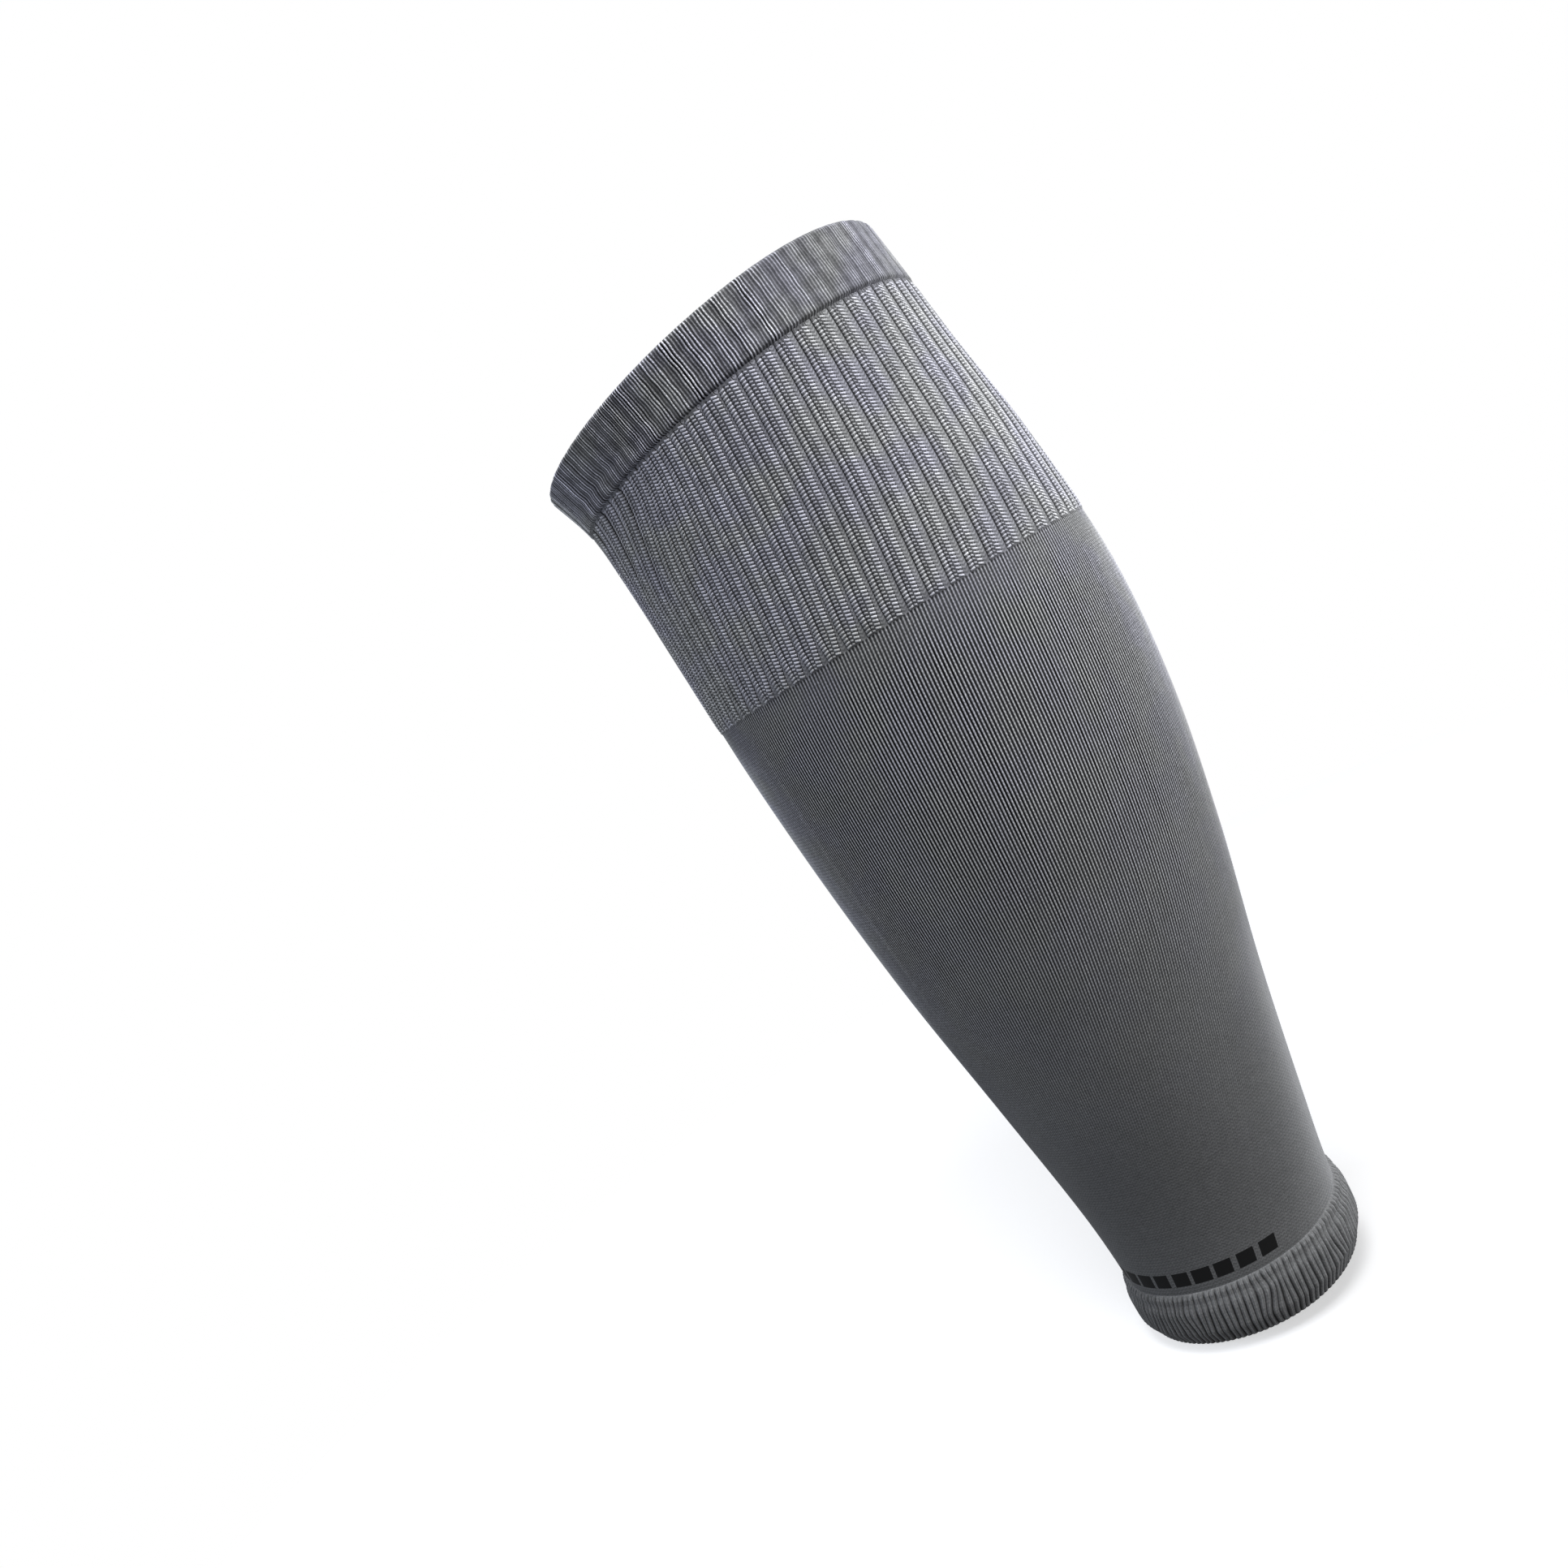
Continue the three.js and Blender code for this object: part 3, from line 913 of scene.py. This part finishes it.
def stitch_tree(name, tops, feet, spans, widths, tones_and_highlight):
    """A geometry tree that lays legs of loops on a ribbed cloth. Tops and feet are shares of a rib."""
    inputs = {
        "Cloth": "Geometry", "Bead": "Object", "Ribs": "Int", "Courses": "Int", "First": "Float",
        "Course Step": "Float", "Recess At": "Float", "Height": "Float", "Yarn": "Material",
    }
    tree, w, given, result = new_tree("GeometryNodeTree", name, inputs, {"Cloth": "Geometry"})
    legs = len(tops)
    row = w.math("MULTIPLY", given["Ribs"], float(legs))
    points = w.add("GeometryNodePoints", {"Count": w.math("MULTIPLY", row, given["Courses"])}).outputs[0]
    number = w.add("GeometryNodeInputIndex").outputs[0]
    leg_number = w.math("MODULO", number, float(legs))
    rib_number = w.math("MODULO", w.math("FLOOR", w.math("DIVIDE", number, float(legs))), given["Ribs"])
    course = w.math("FLOOR", w.math("DIVIDE", number, row))

    def by_leg(values):
        node = w.add("GeometryNodeIndexSwitch", data_type="FLOAT")
        while len(node.index_switch_items) < legs:
            node.index_switch_items.new()
        w.feed(node.inputs[0], leg_number)
        for socket, value in zip(node.inputs[1:], values):
            socket.default_value = value
        return node.outputs[0]

    on_face = w.math("GREATER_THAN", w.carried("outer"), outer_face)
    halves = {"Geometry": given["Cloth"], "Selection": on_face}
    face = w.add("GeometryNodeSeparateGeometry", halves, domain="POINT").outputs[0]
    knit, away, clear = (w.carried(label, "FLOAT_VECTOR") for label in ("knit", "away", "clear"))
    position = w.add("GeometryNodeInputPosition").outputs[0]

    def on_cloth(value, phases, rise):
        rib_share = w.math("ADD", w.math("ADD", rib_number, by_leg(phases)), given["Recess At"])
        u = w.math("FRACT", w.math("DIVIDE", rib_share, given["Ribs"]))
        v = w.math("MULTIPLY_ADD", w.math("ADD", course, rise), given["Course Step"], given["First"])
        place = w.add("ShaderNodeCombineXYZ", {"X": u, "Y": v}).outputs[0]
        node = w.add("GeometryNodeSampleUVSurface", data_type="FLOAT_VECTOR")
        sampled = {"Mesh": face, "Value": value, "UV Map": knit, "Sample UV": place}
        for label, fed in sampled.items():
            w.feed(next(s for s in node.inputs if s.name == label and s.enabled), fed)
        return next(s for s in node.outputs if s.name == "Value" and s.enabled)

    top, foot = on_cloth(position, tops, by_leg(spans)), on_cloth(position, feet, 0.0)
    outwards = on_cloth(away, tops, 0.0)
    along = w.add("ShaderNodeVectorMath", {0: top, 1: foot}, operation="SUBTRACT").outputs[0]
    length = w.add("ShaderNodeVectorMath", {0: along}, operation="LENGTH").outputs["Value"]
    middle = w.add("ShaderNodeMix", {"Factor": 0.5}, data_type="VECTOR")
    w.feed(middle.inputs[4], foot)
    w.feed(middle.inputs[5], top)
    moved = {"Geometry": points, "Position": middle.outputs[1]}
    points = w.add("GeometryNodeSetPosition", moved).outputs[0]
    turn = w.add(
        "FunctionNodeAxesToRotation", {0: along, 1: outwards}, primary_axis="X", secondary_axis="Z"
    ).outputs[0]
    long, wide = w.math("MULTIPLY", length, bead_overlap), by_leg(widths)
    size = w.add("ShaderNodeCombineXYZ", {"X": long, "Y": wide, "Z": given["Height"]}).outputs[0]
    bead = w.add("GeometryNodeObjectInfo", {"Object": given["Bead"]}).outputs["Geometry"]
    laid = {"Points": points, "Instance": bead, "Rotation": turn, "Scale": size}
    laid = w.add("GeometryNodeInstanceOnPoints", laid).outputs[0]
    chance = w.add("FunctionNodeRandomValue", {"Seed": bead_seed}, data_type="FLOAT").outputs[1]
    # Each leg's tone, the shoulder leg's painted highlight among them, with a little chance
    uneven = w.math("ADD", by_leg(tones_and_highlight), w.mix(chance, -bead_swing, bead_swing))
    shown = w.add("ShaderNodeSeparateXYZ", {0: on_cloth(clear, tops, 0.0)}).outputs["X"]
    kept = {"Geometry": laid, "Name": "tone", "Value": w.mix(shown, 0.5, uneven)}
    laid = w.add(
        "GeometryNodeStoreNamedAttribute", kept, data_type="FLOAT", domain="INSTANCE"
    ).outputs[0]
    laid = w.add("GeometryNodeRealizeInstances", {"Geometry": laid}).outputs[0]
    laid = w.add("GeometryNodeSetMaterial", {"Geometry": laid, "Material": given["Yarn"]}).outputs[0]
    w.feed(result["Cloth"], laid)
    return tree


# %% Stitch legs on the ribs
leg_tops, leg_feet, leg_spans = (0.38, 0.45, 0.62), (0.19, 0.55, 0.83), (0.25, 0.25, 0.5)
leg_widths = (0.6 * MM, 0.56 * MM, 0.64 * MM)
# The shoulder leg's tone of 1 is a painted highlight, where the rib's flank faces the key light
leg_tones_and_highlight = (0.6, 0.5, 1.0)
leg_height = 0.36 * MM
leg_swings = {"fine": 0.2, "middle": 0.25, "broad": 0.1}
leg_roughness = 0.75


def bead_material(name, dark, light):
    """Yarn of the single legs. Each has its own tone, and the shoulder leg's is a painted highlight."""
    material, w, surface = new_cloth(name)
    colour = w.colours(attribute(w, "tone"), grey(dark), grey(light))
    w.feed(surface["Base Color"], tinted(w, colour, **leg_swings))
    surface["Roughness"].default_value = leg_roughness
    return material


rib_courses = int(rib_panel_height / course_pitch)
stitches = bpy.data.objects.new("rib_stitches", rib_panel.data.copy())
bpy.context.scene.collection.objects.link(stitches)
rib_stitches = stitch_tree("rib_stitches", leg_tops, leg_feet, leg_spans, leg_widths, leg_tones_and_highlight)
grow(
    stitches, rib_stitches, bead=yarn_bead(), ribs=ribs, courses=rib_courses, recess_at=recess_at,
    first=(rib_panel_base + 0.3 * MM) / sleeve_length, course_step=course_pitch / sleeve_length,
    height=leg_height, yarn=bead_material("stitch_yarn", dark=0.1, light=0.44),
)

# %% [markdown]
# ## Top cuff
# The cuff under the knee is knitted double and folded over at its edge. Its fine lines come in
# groups, some bright and some lost in the dark of the fold, because the two layers don't lie
# exactly on each other. At the shin every second line is lost, and towards the calf all of them
# soften over broad ribs. The fold could be a bevel, but rows that turn round half a circle carry
# the lines over the edge.

# %% Top cuff
cuff_rise = 0.6 * MM
cuff_wall = 2.2 * MM
seam_dip = 1.0 * MM
fold_from = sleeve_length - cuff_wall / 2
cuff_steps, cuff_inner_steps, fold_steps = 28, 6, 8
cuff_inner_relief = 0.5
calf_softness, towards_calf, folds_end = 0.65, (208, 275), (190, 218)
# The sunk grey paints shade into the grooves of the cuff's broad ribs
cuff_yarn = yarn_material(
    "cuff_yarn", crown=0.58, gap_inlay_and_shade=0.002, rest=0.17, loop_share=0.15, bump=0.15 * MM,
    gap_share=0.37, patches=0.35, sunk=0.03,
)


def line_clearness(wale):
    """The lines soften towards the calf. At the shin every second one is lost in a fold."""
    second = np.floor(wale * lines / 360 + hair) % 2
    gathered = 1 - rising(wale, *folds_end)
    return (1 - calf_softness * rising(wale, *towards_calf)) * (1 + gathered * (0.5 - second))


cuff_section = ((0, 0.6), (0.25, 1), (0.6, 1), (0.8, 0.6), (1, 0.6))
cuff_lines = ((0, 0.6), (0.2, 0.9), (0.6, 1), (0.85, 0.6), (1, 0.6))
fine_rib = knit_tree("fine_rib", cuff_section, cuff_lines)
# Two sunk rows make the seam, and the cuff stands up from it
top_cuff = cloth_ring("top_cuff_knit", columns_per_line * lines, [
    (top_cuff_base - 0.3 * MM, -seam_dip, 0.3, 1),
    (top_cuff_base + 0.2 * MM, -seam_dip, 0.6, 1),
    (top_cuff_base + 0.7 * MM, 0.7 * cuff_rise, 1, 1),
    *level_rows(top_cuff_base + 1.3 * MM, fold_from, cuff_steps, cuff_rise)[:-1],
    *folded_rows(sleeve_length, 1, cuff_rise, cuff_wall, fold_steps),
    *level_rows(
        fold_from, top_cuff_base, cuff_inner_steps, cuff_rise - cuff_wall, cuff_inner_relief, 0
    )[1:],
], line_clearness)
grow(
    top_cuff, fine_rib, lines=lines, line_depth=0.35 * MM, ribs=ribs, recess_at=recess_at,
    rib_depth=0.5 * MM, unevenness=0.9, yarn=cuff_yarn,
)

# %% [markdown]
# ## Ankle cuff
# A short elastic rib grips the ankle. It is gathered in two tiers: a narrow one where it is knitted
# to the panel, and a full one below that stands proud and turns under at the hem. Its ribs wave a
# little. A single bulge would lose the step between the tiers, so a short list of rows gives its
# face, and the same rows run back up inside.

# %% Ankle cuff
ankle_bulge = 2.4 * MM
ankle_wall = 2.4 * MM
hem_rise = 0.3 * MM
hem_steps = 10
ankle_face = {
    "at": (0.3, 0.36, 0.42, 0.48, 0.54, 0.6, 0.66, 0.72, 0.77, 0.82, 0.87, 0.91, 0.95, 0.98, 1.0),
    "out": (0.95, 0.98, 0.99, 1.0, 1.0, 1.0, 0.99, 0.94, 0.8, 0.66, 0.6, 0.6, 0.54, 0.35, 0.05),
    "ribbed": (1.0, 1.0, 1.0, 1.0, 1.0, 1.0, 1.0, 0.9, 0.7, 0.6, 0.7, 0.8, 0.8, 0.6, 0.0),
}
ankle_rows = [
    (at * ankle_cuff_height, out * ankle_bulge, ribbed, 1)
    for at, out, ribbed in zip(*ankle_face.values())
]
# The sunk grey paints shade into the grooves of the ankle ribs
ankle_yarn = yarn_material(
    "ankle_yarn", crown=0.165, gap_inlay_and_shade=0.06, rest=0.6, loop_share=0.3, bump=0.05 * MM, sunk=0.02
)
ankle_section = (
    (0, 0.0), (0.08, 0.4), (0.2, 0.95), (0.4, 0.9), (0.5, 0.3),
    (0.6, 0.9), (0.8, 0.95), (0.92, 0.4), (1, 0),
)
gathered_rib = knit_tree("gathered_rib", ankle_section, ((0, 0.3), (0.5, 0.6), (1, 0.3)))
hem = folded_rows(0, -1, hem_rise, ankle_wall, hem_steps)
ankle_cuff = cloth_ring("ankle_cuff_knit", columns_per_rib * ribs, [
    *reversed(hem),
    *ankle_rows,
    *[(h, out - ankle_wall, 0, 0) for h, out, *_ in reversed(ankle_rows)],
])
grow(
    ankle_cuff, gathered_rib, lines=lines, line_depth=0.05 * MM, ribs=ribs, recess_at=0.5,
    rib_depth=0.8 * MM, unevenness=0.5, yarn=ankle_yarn,
)

# %% [markdown]
# ## Placing the pieces in the frame
# Every ring replaces the solid of its zone. All of them ride on the one body of the part, because
# cloth has no joints.

placed = {
    "calf_panel": (calf_panel, "plain_knit", calf_panel_base, calf_panel_top),
    "rib_panel": (rib_panel, "rib_knit", rib_panel_base, rib_panel_top),
    "top_cuff": (top_cuff, "cuff_knit", top_cuff_base, sleeve_length),
    "ankle_cuff": (ankle_cuff, "cuff_knit", 0, ankle_cuff_height),
}
for node, (piece, finish, low, high) in placed.items():
    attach(piece, "root")
    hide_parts(node)
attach(stitches, "root")
